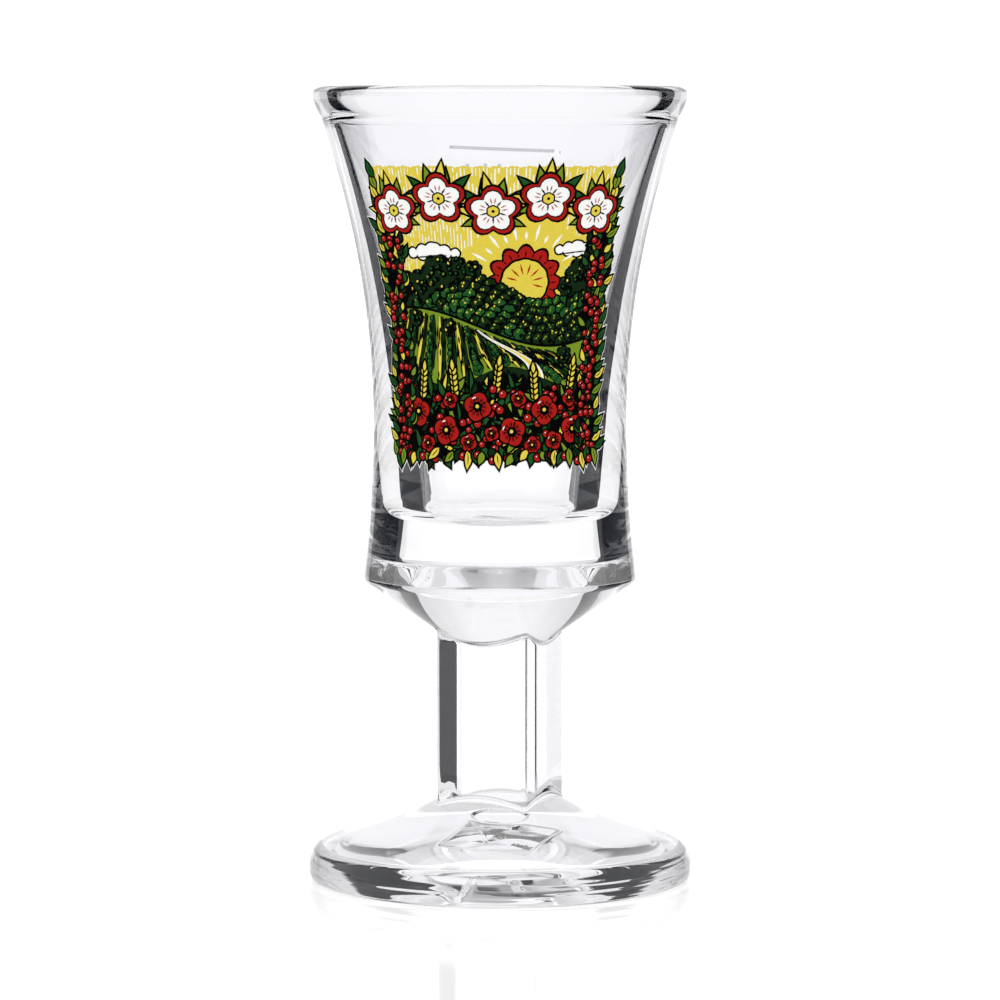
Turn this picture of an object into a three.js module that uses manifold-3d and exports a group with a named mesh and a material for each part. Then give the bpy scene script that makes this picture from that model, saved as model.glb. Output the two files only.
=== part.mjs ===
// A footed schnapps glass of clear pressed glass, with a fired enamel picture on its front.
// Millimetres. The glass stands on z = 0, its axis is the Z axis, and the picture faces -Y.
import * as THREE from 'three';
import { mergeVertices } from 'three/addons/utils/BufferGeometryUtils.js';
import Module from 'manifold-3d';

const wasm = await Module();
wasm.setup();
const degree = Math.PI / 180;

// Rim: the wall's two sides bend upright near the top, and the fire has rounded the edge between them.
// The insets are measured inwards from the rim's outer side.
const overallHeight = 91;
const rimRadius = 21.35;
const rimThickness = 2.85;
const rimRoundHeight = 0.8;
const rimCrestInset = 1.4;
const rimHeight = 3.5;
const rimBend = 1.35;
const rimUndercut = 0.08;
const wallTopInset = 0.93;
const cavityTopInset = 2.75;

// Outer wall of the bowl: two parabolas that meet at the waist, then a shoulder and a cone.
const waistRadius = 14.52;
const waistHeight = 52.5;
const shoulderRadius = 15.72;
const shoulderHeight = 34.55;
const shoulderRound = 1.3;
const coneAngle = 34.65 * degree;

// Cavity: a rounded floor above a thick base, and a wall that opens faster towards the lip.
const baseThickness = 6.65;
const cavityFloorRadius = 8.9;
const cavityCorner = 2.0;
const cavityTaper = 0.385;

// Stem: a solid square prism, turned from the picture side, with soft corners and a cast fillet.
const stemSide = 11.25;
const stemCorner = 0.7;
const stemTurn = -23.6 * degree;
const filletReach = 0.8;

// Foot: a domed disc with a round edge, standing on a flat ring round a hollow. The hollow's sides run
// out level at the ring, and a round mark of the mould stands down from its middle.
const footRadius = 22.04;
const footEdgeHeight = 4.05;
const footEdgeWidth = 1.75;
const footSideHeight = 1.7;
const footBottomRound = 0.9;
const footRise = 4.75;
const footBulge = 1.3;
const hollowRadius = 18.5;
const hollowDepth = 3.15;
const markRadius = 2.45;
const markDepth = 0.25;
const markSlope = 0.6;

// Enamel: three printed layers, each a thin skin that clears the one under it.
const inkThickness = 0.08;
const inkClearance = 0.02;
const pictureDrop = 5.0;
const pictureHeight = 34.5;
const pictureWidth = 28.9;
const pictureRadius = 15.6;
const pictureTurn = -2.5 * degree;
const colourGap = 0.12;
const lineWidth = 0.4;

// Fill line: a short band on the back of the bowl, printed a little askew.
const fillLineDrop = 3.97;
const fillLineLength = 12.6;
const fillLineWidth = 0.5;
const fillLineTilt = 2.2 * degree;

// Facets
const segments = 52;
const wallSteps = 10;
const cavitySteps = 7;
const rimSteps = 2;
const roundSteps = 3;
const filletSteps = 5;
const hollowSteps = 5;
const domeSteps = 6;
const lineSteps = 24;
const edgeSteps = 34;
const petalPoints = 5;

function lerp(from, to, share) {
  return from + (to - from) * share;
}

function steps(count) {
  return Array.from({ length: count + 1 }, (_, i) => i / count);
}

const rimFoot = overallHeight - rimHeight;
const rimSide = overallHeight - rimRoundHeight;
const wallTop = new THREE.Vector2(rimRadius - wallTopInset, rimFoot);
const cavityTop = new THREE.Vector2(rimRadius - cavityTopInset, rimFoot);

function wallRadius(z) {
  const above = z > waistHeight;
  const endRadius = above ? wallTop.x : shoulderRadius;
  const endHeight = above ? wallTop.y : shoulderHeight;
  const share = (z - waistHeight) / (endHeight - waistHeight);
  return lerp(waistRadius, endRadius, share * share);
}

const cavityFloor = shoulderHeight + baseThickness;

function cavityRadius(z) {
  const share = (z - cavityFloor) / (cavityTop.y - cavityFloor);
  return lerp(cavityFloorRadius, cavityTop.x, cavityTaper * share + (1 - cavityTaper) * share * share);
}

function coneHeight(radius) {
  return shoulderHeight - (shoulderRadius - radius) * Math.tan(coneAngle);
}

// How far the square stem's outline lies from the axis, in a direction turned from the picture side.
function stemReach(direction) {
  const half = stemSide / 2;
  const quarter = Math.PI / 2;
  const turned = direction - stemTurn;
  const fromFace = Math.abs(turned - quarter * Math.round(turned / quarter));
  const flat = half - stemCorner;
  if (half * Math.tan(fromFace) <= flat) {
    return half / Math.cos(fromFace);
  }
  const fromCorner = Math.PI / 4 - fromFace;
  const cornerCentre = flat * Math.SQRT2;
  const across = cornerCentre * Math.sin(fromCorner);
  return cornerCentre * Math.cos(fromCorner) + Math.sqrt(stemCorner ** 2 - across ** 2);
}

// The larger of two radii, eased where they are close, which leaves a fillet between two surfaces.
function eased(a, b) {
  const close = Math.max(filletReach - Math.abs(a - b), 0);
  return Math.max(a, b) + close ** 2 / (4 * filletReach);
}

// A turned solid from a profile of (radius, height) points that is listed with the solid on its left.
// The first column of vertices lies on a corner of the stem.
function turned(profile) {
  const geometry = new THREE.LatheGeometry(profile, segments, stemTurn + Math.PI / 4);
  geometry.rotateX(Math.PI / 2);
  return geometry;
}

// Pushes the surface between two heights out to the square stem, wherever the stem is wider.
function meltedIntoStem(geometry, low, high) {
  const position = geometry.getAttribute('position');
  const slack = 1e-3;
  for (let i = 0; i < position.count; i += 1) {
    const x = position.getX(i);
    const y = position.getY(i);
    const z = position.getZ(i);
    const radius = Math.hypot(x, y);
    if (radius > slack && z > low - slack && z < high + slack) {
      const scale = eased(radius, stemReach(Math.atan2(x, -y))) / radius;
      position.setXY(i, x * scale, y * scale);
    }
  }
  return geometry;
}

// One closed body: shared vertices merged, and the empty triangles at the axis left out.
function closed(geometry) {
  geometry.deleteAttribute('normal');
  geometry.deleteAttribute('uv');
  const merged = mergeVertices(geometry, 1e-4);
  const kept = [];
  for (let i = 0; i < merged.index.count; i += 3) {
    const corners = [0, 1, 2].map((k) => merged.index.getX(i + k));
    if (new Set(corners).size === 3) {
      kept.push(...corners);
    }
  }
  merged.setIndex(kept);
  merged.computeVertexNormals();
  return merged;
}

function solid(geometry) {
  const merged = closed(geometry);
  return new wasm.Manifold(new wasm.Mesh({
    numProp: 3,
    vertProperties: new Float32Array(merged.getAttribute('position').array),
    triVerts: new Uint32Array(merged.index.array),
  }));
}

function surfaceOf(body) {
  const mesh = body.getMesh();
  const geometry = new THREE.BufferGeometry();
  geometry.setAttribute('position', new THREE.BufferAttribute(mesh.vertProperties, 3));
  geometry.setIndex(new THREE.BufferAttribute(mesh.triVerts, 1));
  geometry.computeVertexNormals();
  return geometry;
}

const glass = new THREE.Group();
glass.name = 'schnapps_glass';

function piece(name, geometry, material) {
  const mesh = new THREE.Mesh(geometry, material);
  mesh.name = name;
  glass.add(mesh);
}

function clearGlass(tint) {
  return new THREE.MeshStandardMaterial({ color: tint, roughness: 0.03, metalness: 0 });
}

function enamel(colour) {
  return new THREE.MeshStandardMaterial({ color: colour, roughness: 0.35, metalness: 0 });
}

// Bowl
function rimProfile() {
  const crest = rimRadius - rimCrestInset;
  const inner = rimRadius - rimThickness;
  const outside = new THREE.QuadraticBezierCurve(
    wallTop,
    new THREE.Vector2(rimRadius, rimFoot + rimBend),
    new THREE.Vector2(rimRadius, rimSide),
  );
  const outerRound = new THREE.EllipseCurve(crest, rimSide, rimCrestInset, rimRoundHeight, 0, Math.PI / 2);
  const innerRound = new THREE.EllipseCurve(
    crest, rimSide,
    crest - inner, rimRoundHeight,
    Math.PI / 2, Math.PI,
  );
  const inside = new THREE.QuadraticBezierCurve(
    new THREE.Vector2(inner, rimSide),
    new THREE.Vector2(inner - rimUndercut, rimFoot + rimBend),
    cavityTop,
  );
  return [
    ...outside.getPoints(rimSteps),
    ...outerRound.getPoints(roundSteps).slice(1),
    ...innerRound.getPoints(roundSteps).slice(1),
    ...inside.getPoints(rimSteps).slice(1),
  ];
}

const filletStart = stemSide / 2 - filletReach;
const filletEnd = stemSide / Math.SQRT2 + filletReach;
const stemTop = coneHeight(filletStart);
const shoulderCut = shoulderRound * Math.tan((Math.PI / 2 - coneAngle) / 2);
const wallFoot = shoulderHeight + shoulderCut;
const wallHeights = steps(wallSteps).map((share) => lerp(wallFoot, wallTop.y, share));

function bowlProfile() {
  const shoulder = new THREE.QuadraticBezierCurve(
    new THREE.Vector2(
      shoulderRadius - shoulderCut * Math.cos(coneAngle),
      shoulderHeight - shoulderCut * Math.sin(coneAngle),
    ),
    new THREE.Vector2(shoulderRadius, shoulderHeight),
    new THREE.Vector2(wallRadius(wallFoot), wallFoot),
  );
  const floorCorner = new THREE.QuadraticBezierCurve(
    new THREE.Vector2(cavityRadius(cavityFloor + cavityCorner), cavityFloor + cavityCorner),
    new THREE.Vector2(cavityFloorRadius, cavityFloor),
    new THREE.Vector2(cavityFloorRadius - cavityCorner, cavityFloor),
  );
  const coneRadii = steps(filletSteps).map((share) => lerp(filletStart, filletEnd, share));
  const cavityHeights = steps(cavitySteps)
    .map((share) => lerp(cavityTop.y, cavityFloor + cavityCorner, share))
    .slice(1, -1);
  return [
    new THREE.Vector2(0, stemTop),
    ...coneRadii.map((radius) => new THREE.Vector2(radius, coneHeight(radius))),
    ...shoulder.getPoints(roundSteps),
    ...wallHeights.slice(1, -1).map((z) => new THREE.Vector2(wallRadius(z), z)),
    ...rimProfile(),
    ...cavityHeights.map((z) => new THREE.Vector2(cavityRadius(z), z)),
    ...floorCorner.getPoints(roundSteps),
    new THREE.Vector2(0, cavityFloor),
  ];
}

const bowl = meltedIntoStem(turned(bowlProfile()), stemTop, coneHeight(filletEnd));
piece('bowl', closed(bowl), clearGlass(0xf2f5f7));

// Foot: its dome rises ever more steeply from the edge to the stem.
const domeRadius = footRadius - footEdgeWidth;
const cornerReach = stemReach(stemTurn + Math.PI / 4);

function domeHeight(radius) {
  const share = (domeRadius - radius) / (domeRadius - cornerReach);
  return footEdgeHeight + footRise * share ** footBulge;
}

function hollowHeight(radius) {
  return hollowDepth * (1 - (radius / hollowRadius) ** 2) ** 2;
}

const stemBottom = domeHeight(filletStart);

function footProfile() {
  const markFlat = markRadius - markSlope / 2;
  const mark = [0, markFlat].map((radius) => new THREE.Vector2(radius, hollowHeight(markFlat) - markDepth));
  const hollow = steps(hollowSteps)
    .map((share) => lerp(markRadius + markSlope / 2, hollowRadius, share))
    .map((radius) => new THREE.Vector2(radius, hollowHeight(radius)));
  const bottomRound = new THREE.QuadraticBezierCurve(
    new THREE.Vector2(footRadius - footBottomRound, 0),
    new THREE.Vector2(footRadius, 0),
    new THREE.Vector2(footRadius, footBottomRound),
  );
  const edge = new THREE.EllipseCurve(
    domeRadius, footSideHeight,
    footEdgeWidth, footEdgeHeight - footSideHeight,
    0, Math.PI / 2,
  );
  const domeRadii = steps(domeSteps).map((share) => lerp(domeRadius, filletEnd, share)).slice(1, -1);
  const rootRadii = steps(filletSteps).map((share) => lerp(filletEnd, filletStart, share));
  return [
    ...mark,
    ...hollow,
    ...bottomRound.getPoints(roundSteps),
    ...edge.getPoints(roundSteps + 1),
    ...[...domeRadii, ...rootRadii].map((radius) => new THREE.Vector2(radius, domeHeight(radius))),
    new THREE.Vector2(0, stemBottom),
  ];
}

const foot = meltedIntoStem(turned(footProfile()), domeHeight(filletEnd), stemBottom);
piece('foot', closed(foot), clearGlass(0xe9edf0));

// Stem: it meets the foot and the bowl face to face, where the hot glass has run together.
function stemProfile() {
  return [
    new THREE.Vector2(0, stemBottom),
    new THREE.Vector2(filletStart, stemBottom),
    new THREE.Vector2(filletStart, stemTop),
    new THREE.Vector2(0, stemTop),
  ];
}

const stem = meltedIntoStem(turned(stemProfile()), stemBottom, stemTop);
piece('stem', closed(stem), clearGlass(0xdfe5ea));

// A skin of enamel right round the wall, from which each printed colour is cut.
function inkSkin(layer) {
  const inner = inkClearance + layer * (inkThickness + inkClearance);
  const outer = inner + inkThickness;
  const up = wallHeights.map((z) => new THREE.Vector2(wallRadius(z) + outer, z));
  const down = wallHeights.toReversed().map((z) => new THREE.Vector2(wallRadius(z) + inner, z));
  return solid(turned([...up, ...down, up[0].clone()]));
}

const skins = [0, 1, 2].map(inkSkin);

// A prism that reaches forward from the axis, with an outline drawn in x and z as seen from the front.
// Points inside a straight run are left out, because the prism's end faces would skip them.
function stamp(points) {
  const bends = points.filter((point, i) => {
    const before = points.at(i - 1).clone().sub(point);
    const after = points[(i + 1) % points.length].clone().sub(point);
    return Math.abs(before.cross(after)) > 1e-7;
  });
  const depth = rimRadius + rimThickness;
  const geometry = new THREE.ExtrudeGeometry(new THREE.Shape(bends), { depth, bevelEnabled: false });
  geometry.rotateX(Math.PI / 2);
  return solid(geometry);
}

// A place in the picture: u runs to the right along the wall and v up, from the middle of its lower edge.
const pictureBottom = wallTop.y - pictureDrop - pictureHeight;

function onWall(u, v) {
  const z = pictureBottom + v;
  return new THREE.Vector2(wallRadius(z) * Math.sin(u / pictureRadius + pictureTurn), z);
}

// The picture's edges: leaf tips hang from the bottom and stick out at the sides.
const halfWidth = pictureWidth / 2;
const tipPitch = 2.4;
const tipDepth = 1.5;
const sidePitch = 3.2;
const sideDepth = 0.7;

function bottomEdge(u) {
  return tipDepth * Math.abs(Math.sin(Math.PI * u / tipPitch));
}

function sideEdge(v) {
  return halfWidth - sideDepth * Math.abs(Math.sin(Math.PI * v / sidePitch));
}

// The landscape's lines rise and fall about a level. Levels and places are shares of the picture's size.
function skyline(level, swell, bend, shift) {
  return (u) => pictureHeight * (level + swell * Math.sin(bend * u / pictureWidth + shift));
}

function place([across, up]) {
  return [pictureWidth * across, pictureHeight * up];
}

const meadowLine = skyline(0.307, 0.032, 12.14, 0.8);
const nearHillLine = skyline(0.47, -0.061, 5.49, 0.3);
const farHillLine = skyline(0.597, 0.0435, 10.98, 2.67);

// The whole picture's ragged outline, drawn in by a margin.
function panel(margin) {
  const reach = halfWidth - margin;
  const across = steps(edgeSteps).map((share) => lerp(-reach, reach, share));
  const up = steps(edgeSteps)
    .map((share) => lerp(tipDepth + margin, pictureHeight - margin, share))
    .slice(0, -1);
  return stamp([
    ...across.map((u) => onWall(u, bottomEdge(u) + margin)),
    ...up.map((v) => onWall(sideEdge(v) - margin, v)),
    onWall(reach, pictureHeight - margin),
    onWall(-reach, pictureHeight - margin),
    ...up.toReversed().map((v) => onWall(margin - sideEdge(v), v)),
  ]);
}

const ground = panel(0);
const printable = panel(colourGap);

// The part of the picture that lies between two lines.
function between(lower, upper) {
  const across = steps(lineSteps).map((share) => lerp(-halfWidth, halfWidth, share));
  const band = stamp([
    ...across.map((u) => onWall(u, lower(u))),
    ...across.toReversed().map((u) => onWall(u, upper(u))),
  ]);
  return band.intersect(printable);
}

// A round head of a flower or the sun. Its petals or rays reach out by a share of its radius.
function head(u, v, radius, petals, petalShare) {
  const turn = steps(petalPoints * petals).slice(1);
  return stamp(turn.map((share) => {
    const angle = 2 * Math.PI * share;
    const reach = radius * (1 - petalShare + petalShare * Math.abs(Math.cos(petals * angle / 2)));
    return onWall(u + reach * Math.sin(angle), v + reach * Math.cos(angle));
  }));
}

// A brushed line of even width along a path of [u, v] points.
function brushed(path, width) {
  const sides = path.map(([u, v], i) => {
    const [u0, v0] = path[Math.max(i - 1, 0)];
    const [u1, v1] = path[Math.min(i + 1, path.length - 1)];
    const length = Math.hypot(u1 - u0, v1 - v0);
    const du = (v0 - v1) * width / (2 * length);
    const dv = (u1 - u0) * width / (2 * length);
    return [onWall(u + du, v + dv), onWall(u - du, v - dv)];
  });
  return stamp([...sides.map((side) => side[1]), ...sides.toReversed().map((side) => side[0])]);
}

function inked(name, layer, cutter, colour) {
  piece(name, surfaceOf(skins[layer].intersect(cutter)), enamel(colour));
}

const white = 0xf1f1ee;
const red = 0xc5261f;
const black = 0x17120f;

// White ground
inked('print_white_ground', 0, ground, white);

// Sun, half behind the far hills
const sunRadius = 4.1;
const sunRays = 12;
const raySpread = 0.18;
const sunPlace = place([0.118, 0.614]);
const belowFarHills = between(() => 0, (u) => farHillLine(u) + colourGap);
const sun = head(...sunPlace, sunRadius, sunRays, raySpread).subtract(belowFarHills);
inked('print_sun', 1, sun, red);

// Blossoms across the sky, each a white head on a wider red one
const blossomRadius = 2.75;
const blossomEdge = 0.5;
const blossomPetals = 5;
const petalSpread = 0.3;
const blossomPlaces = [
  [-0.377, 0.843],
  [-0.189, 0.884],
  [0, 0.843],
  [0.189, 0.884],
  [0.377, 0.843],
].map(place);

function blossom([u, v], radius) {
  return head(u, v, radius, blossomPetals, petalSpread);
}

let sky = between((u) => farHillLine(u) + colourGap, () => pictureHeight);
sky = sky.subtract(head(...sunPlace, sunRadius + colourGap, sunRays, raySpread));
for (const middle of blossomPlaces) {
  sky = sky.subtract(blossom(middle, blossomRadius + colourGap));
}
inked('print_yellow_sky', 1, sky, 0xe6cf45);
blossomPlaces.forEach((middle, i) => {
  inked(`print_blossom_edge_${i + 1}`, 1, blossom(middle, blossomRadius), red);
  inked(`print_blossom_${i + 1}`, 2, blossom(middle, blossomRadius - blossomEdge), white);
});

// Hills and meadow
const farHills = between((u) => nearHillLine(u) + colourGap, farHillLine);
const nearHill = between((u) => meadowLine(u) + colourGap, nearHillLine);
inked('print_far_hills', 1, farHills, 0x2f6b34);
inked('print_near_hill', 1, nearHill, 0x86a832);
inked('print_meadow', 1, between(() => 0, meadowLine), 0x24401f);

// Poppies in the meadow
const poppyRadius = 1.75;
const poppyPetals = 4;
const poppySpread = 0.22;
const poppyPlaces = [
  [-0.339, 0.191],
  [-0.204, 0.133],
  [-0.069, 0.212],
  [0.073, 0.13],
  [0.211, 0.2],
  [0.343, 0.136],
].map(place);
poppyPlaces.forEach(([u, v], i) => {
  inked(`print_poppy_${i + 1}`, 2, head(u, v, poppyRadius, poppyPetals, poppySpread), red);
});

// Black line work, printed last: the hills' outlines, a dark hedge on each side, a ground line and
// the poppies' stalks
const hedgeTop = 0.74 * pictureHeight;
const hedgeWidth = 1.6;
const hedgeSway = 0.15;
const stalkLean = 0.4;

function blackLines() {
  const reach = halfWidth - sideDepth - lineWidth;
  const across = steps(lineSteps / 2).map((share) => lerp(-reach, reach, share));
  const groundLine = tipDepth + lineWidth;
  const strokes = [farHillLine, nearHillLine, meadowLine, () => groundLine]
    .map((line) => brushed(across.map((u) => [u, line(u)]), lineWidth));
  for (const side of [-1, 1]) {
    const hedge = steps(lineSteps / 2).map((share) => {
      const v = lerp(groundLine, hedgeTop, share);
      return [side * (reach - hedgeWidth / 2 - hedgeSway * Math.sin(v)), v];
    });
    strokes.push(brushed(hedge, hedgeWidth));
  }
  for (const [u, v] of poppyPlaces) {
    const top = v - poppyRadius - colourGap;
    const stalk = steps(2).map((share) => [u + stalkLean * (1 - share) ** 2, lerp(groundLine, top, share)]);
    strokes.push(brushed(stalk, lineWidth));
  }
  return wasm.Manifold.union(strokes);
}

inked('print_black_lines', 2, blackLines(), black);

// Fill line, on the back: its outline is drawn as seen from behind
function fillLine() {
  const z = wallTop.y - fillLineDrop;
  const half = new THREE.Vector2(fillLineLength / 2, fillLineWidth / 2);
  const corners = [[-1, -1], [1, -1], [1, 1], [-1, 1]];
  return stamp(corners.map(([right, up]) => new THREE.Vector2(
    right * half.x,
    z + up * half.y + right * half.x * Math.tan(fillLineTilt),
  ))).rotate([0, 0, 180]);
}

inked('fill_line', 0, fillLine(), 0x8d9290);

export default glass;
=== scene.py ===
import math
import random

import bpy
import numpy as np
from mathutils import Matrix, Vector
from mathutils.geometry import delaunay_2d_cdt


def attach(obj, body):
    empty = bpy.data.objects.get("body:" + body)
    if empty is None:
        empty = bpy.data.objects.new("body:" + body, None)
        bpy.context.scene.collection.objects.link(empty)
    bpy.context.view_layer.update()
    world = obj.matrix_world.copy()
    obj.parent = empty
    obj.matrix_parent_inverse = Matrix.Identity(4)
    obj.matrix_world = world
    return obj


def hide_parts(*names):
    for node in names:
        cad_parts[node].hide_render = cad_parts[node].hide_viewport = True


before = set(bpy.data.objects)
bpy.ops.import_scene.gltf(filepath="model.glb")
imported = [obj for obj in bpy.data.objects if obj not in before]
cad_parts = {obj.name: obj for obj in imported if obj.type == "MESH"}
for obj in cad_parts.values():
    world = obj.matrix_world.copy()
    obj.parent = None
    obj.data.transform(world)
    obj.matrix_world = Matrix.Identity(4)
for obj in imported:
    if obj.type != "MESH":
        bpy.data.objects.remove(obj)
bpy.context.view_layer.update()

# Camera. The glass was photographed from half a metre away with a long lens, from about the
# rim's height, so the mouth shows almost edge-on and the foot as an ellipse.
MM = 0.001
CAMERA_PLACE, CAMERA_AIM = (0, -513.0, 87.7), (0, 0, 43.65)
LENS, SENSOR = 161.4, 36
camera = bpy.data.objects.new("camera", bpy.data.cameras.new("camera"))
bpy.context.scene.collection.objects.link(camera)
camera.data.sensor_width = SENSOR
camera.data.lens = LENS
camera.data.clip_start = 0.01
camera.location = Vector(CAMERA_PLACE) * MM
aim = Vector(CAMERA_AIM) * MM - camera.location
camera.rotation_mode = "QUATERNION"
camera.rotation_quaternion = aim.to_track_quat("-Z", "Y")
bpy.context.scene.camera = camera
bpy.context.scene.view_settings.view_transform = "Standard"
bpy.context.view_layer.update()

# The glass: cup, square stem and domed foot are one lump of clear soda-lime glass.
# It was pressed in a mould in one shot, and its rim and edges were melted round by a flame.
RIM_HEIGHT, RIM_RADIUS, RIM_WIDEST, RIM_CREST_RADIUS = 91.0, 21.35, 90.2, 19.95
RIM_INSIDE, RIM_UNDERCUT, RIM_JOIN = 18.5, 0.08, 87.5
WALL_TOP_RADIUS, CUP_TOP_RADIUS = 20.42, 18.6
WAIST_HEIGHT, WAIST_RADIUS = 52.5, 14.52
SHOULDER_HEIGHT, SHOULDER_RADIUS, SHOULDER_ROUND = 34.55, 15.72, 1.3
CONE_SLOPE = math.radians(34.65)
CUP_FLOOR, CUP_FLOOR_RADIUS, CUP_CORNER, CUP_TAPER = 41.2, 8.9, 2.0, 0.385
STEM_HALF, STEM_CORNER, STEM_TURN, STEM_FILLET = 5.625, 0.7, math.radians(-23.6), 0.8
FOOT_RADIUS, FOOT_EDGE_TOP, FOOT_EDGE_WIDTH, FOOT_SIDE = 22.02, 4.05, 1.75, 1.7
FOOT_BOTTOM_ROUND, FOOT_RISE, FOOT_BULGE = 0.9, 4.75, 1.3
HOLLOW_RADIUS, HOLLOW_DEPTH, HOLLOW_POWER = 18.5, 3.15, 2.0
MARK_RADIUS, MARK_DEPTH, MARK_EDGE = 2.45, 0.25, 0.6


def mix(a, b, share):
    return a + (b - a) * share


def wall_radius(z):
    above = z > WAIST_HEIGHT
    end_radius = np.where(above, WALL_TOP_RADIUS, SHOULDER_RADIUS)
    end_height = np.where(above, RIM_JOIN, SHOULDER_HEIGHT)
    share = (z - WAIST_HEIGHT) / (end_height - WAIST_HEIGHT)
    return mix(WAIST_RADIUS, end_radius, share**2)


def cup_radius(z):
    share = (z - CUP_FLOOR) / (RIM_JOIN - CUP_FLOOR)
    return mix(CUP_FLOOR_RADIUS, CUP_TOP_RADIUS, CUP_TAPER * share + (1 - CUP_TAPER) * share**2)


def cone_height(radius):
    return SHOULDER_HEIGHT - (SHOULDER_RADIUS - radius) * math.tan(CONE_SLOPE)


def bend(start, corner, end, count):
    """Points on a curve that leaves its start towards a corner and comes from there to its end."""
    t = np.linspace(0, 1, count)[:, None]
    start, corner, end = (np.array(p, float) for p in (start, corner, end))
    return (1 - t) ** 2 * start + 2 * t * (1 - t) * corner + t**2 * end


def rim():
    """The fire-polished rim, from the cup's wall over the top and down to the outer wall."""
    rise = RIM_HEIGHT - RIM_WIDEST
    middle = mix(RIM_JOIN, RIM_WIDEST, 0.5)
    undercut = (RIM_INSIDE - RIM_UNDERCUT, middle)
    inside = bend((CUP_TOP_RADIUS, RIM_JOIN), undercut, (RIM_INSIDE, RIM_WIDEST), 12)
    outside = bend((RIM_RADIUS, RIM_WIDEST), (RIM_RADIUS, middle), (WALL_TOP_RADIUS, RIM_JOIN), 12)
    turn = np.linspace(math.pi, 0, 33)[1:-1, None]
    reach = np.where(np.cos(turn) < 0, RIM_CREST_RADIUS - RIM_INSIDE, RIM_RADIUS - RIM_CREST_RADIUS)
    top = np.hstack([RIM_CREST_RADIUS + reach * np.cos(turn), RIM_WIDEST + rise * np.sin(turn)])
    return np.vstack([inside, top, outside])


def stem_reach(direction):
    """Distance from the axis to the square stem's outline, in a direction turned from the picture side."""
    turned = direction - STEM_TURN
    from_face = np.abs(turned - math.pi / 2 * np.round(turned / (math.pi / 2)))
    flat = STEM_HALF - STEM_CORNER
    centre = flat * math.sqrt(2)
    across = centre * np.sin(math.pi / 4 - from_face)
    rounded = centre * np.cos(math.pi / 4 - from_face) + np.sqrt(np.maximum(STEM_CORNER**2 - across**2, 0))
    return np.where(STEM_HALF * np.tan(from_face) <= flat, STEM_HALF / np.cos(from_face), rounded)


def melted(radius, reach):
    """The larger radius, eased where the two are close, which leaves the fillet of the hot glass."""
    close = np.maximum(STEM_FILLET - np.abs(radius - reach), 0)
    return np.maximum(radius, reach) + close**2 / (4 * STEM_FILLET)


DOME_RADIUS = FOOT_RADIUS - FOOT_EDGE_WIDTH
CORNER_REACH = (STEM_HALF - STEM_CORNER) * math.sqrt(2) + STEM_CORNER


def dome_height(radius):
    share = (DOME_RADIUS - radius) / (DOME_RADIUS - CORNER_REACH)
    return FOOT_EDGE_TOP + FOOT_RISE * share**FOOT_BULGE


def glass_rows():
    """The half section from the cup's floor to the foot's hollow: radius, height, and 1 for the stem."""
    root_start = STEM_HALF - STEM_FILLET
    root_end = STEM_HALF * math.sqrt(2) + STEM_FILLET
    cut = SHOULDER_ROUND * math.tan((math.pi / 2 - CONE_SLOPE) / 2)
    shoulder_top = SHOULDER_HEIGHT + cut
    cone_start = SHOULDER_RADIUS - cut * math.cos(CONE_SLOPE)
    standing = FOOT_RADIUS - FOOT_BOTTOM_ROUND
    rows = []

    def lay(radii, heights, stem=0.0):
        rows.extend(zip(*np.broadcast_arrays(radii, heights, stem)))

    def lay_bend(points):
        lay(points[:, 0], points[:, 1])

    corner_top = CUP_FLOOR + CUP_CORNER
    lay(np.linspace(0.4, CUP_FLOOR_RADIUS - CUP_CORNER, 8)[:-1], CUP_FLOOR)
    lay_bend(bend((CUP_FLOOR_RADIUS - CUP_CORNER, CUP_FLOOR), (CUP_FLOOR_RADIUS, CUP_FLOOR),
                  (cup_radius(corner_top), corner_top), 9))
    inside = np.linspace(corner_top, RIM_JOIN, 50)[1:-1]
    lay(cup_radius(inside), inside)
    lay_bend(rim())
    outside = np.linspace(RIM_JOIN, shoulder_top, 58)[1:-1]
    lay(wall_radius(outside), outside)
    lay_bend(bend((wall_radius(shoulder_top), shoulder_top), (SHOULDER_RADIUS, SHOULDER_HEIGHT),
                  (cone_start, cone_height(cone_start)), 12))
    cone = np.linspace(cone_start, root_end, 14)[1:-1]
    lay(cone, cone_height(cone))
    root = np.linspace(root_end, root_start, 37)
    lay(root, cone_height(root), 1.0)
    lay(root_start, np.linspace(cone_height(root_start), dome_height(root_start), 22)[1:-1], 1.0)
    lay(root[::-1], dome_height(root[::-1]), 1.0)
    dome = np.linspace(root_end, DOME_RADIUS, 26)[1:-1]
    lay(dome, dome_height(dome))
    edge = np.linspace(math.pi / 2, 0, 44)
    lay(DOME_RADIUS + FOOT_EDGE_WIDTH * np.cos(edge), FOOT_SIDE + (FOOT_EDGE_TOP - FOOT_SIDE) * np.sin(edge))
    lay(FOOT_RADIUS, np.linspace(FOOT_SIDE, FOOT_BOTTOM_ROUND, 11)[1:-1])
    lay_bend(bend((FOOT_RADIUS, FOOT_BOTTOM_ROUND), (FOOT_RADIUS, 0), (standing, 0), 17))
    lay(np.linspace(standing, HOLLOW_RADIUS, 5)[1:-1], 0)
    hollow = np.concatenate([np.linspace(1, 0.15, 30), np.linspace(0.15, 0, 24)[1:-1]]) * HOLLOW_RADIUS
    past_mark = np.clip((hollow - MARK_RADIUS) / MARK_EDGE + 0.5, 0, 1)
    mark = MARK_DEPTH * (0.5 + 0.5 * np.cos(math.pi * past_mark))
    lay(hollow, HOLLOW_DEPTH * (1 - (hollow / HOLLOW_RADIUS) ** 2) ** HOLLOW_POWER - mark)
    return np.array(rows)


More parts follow.
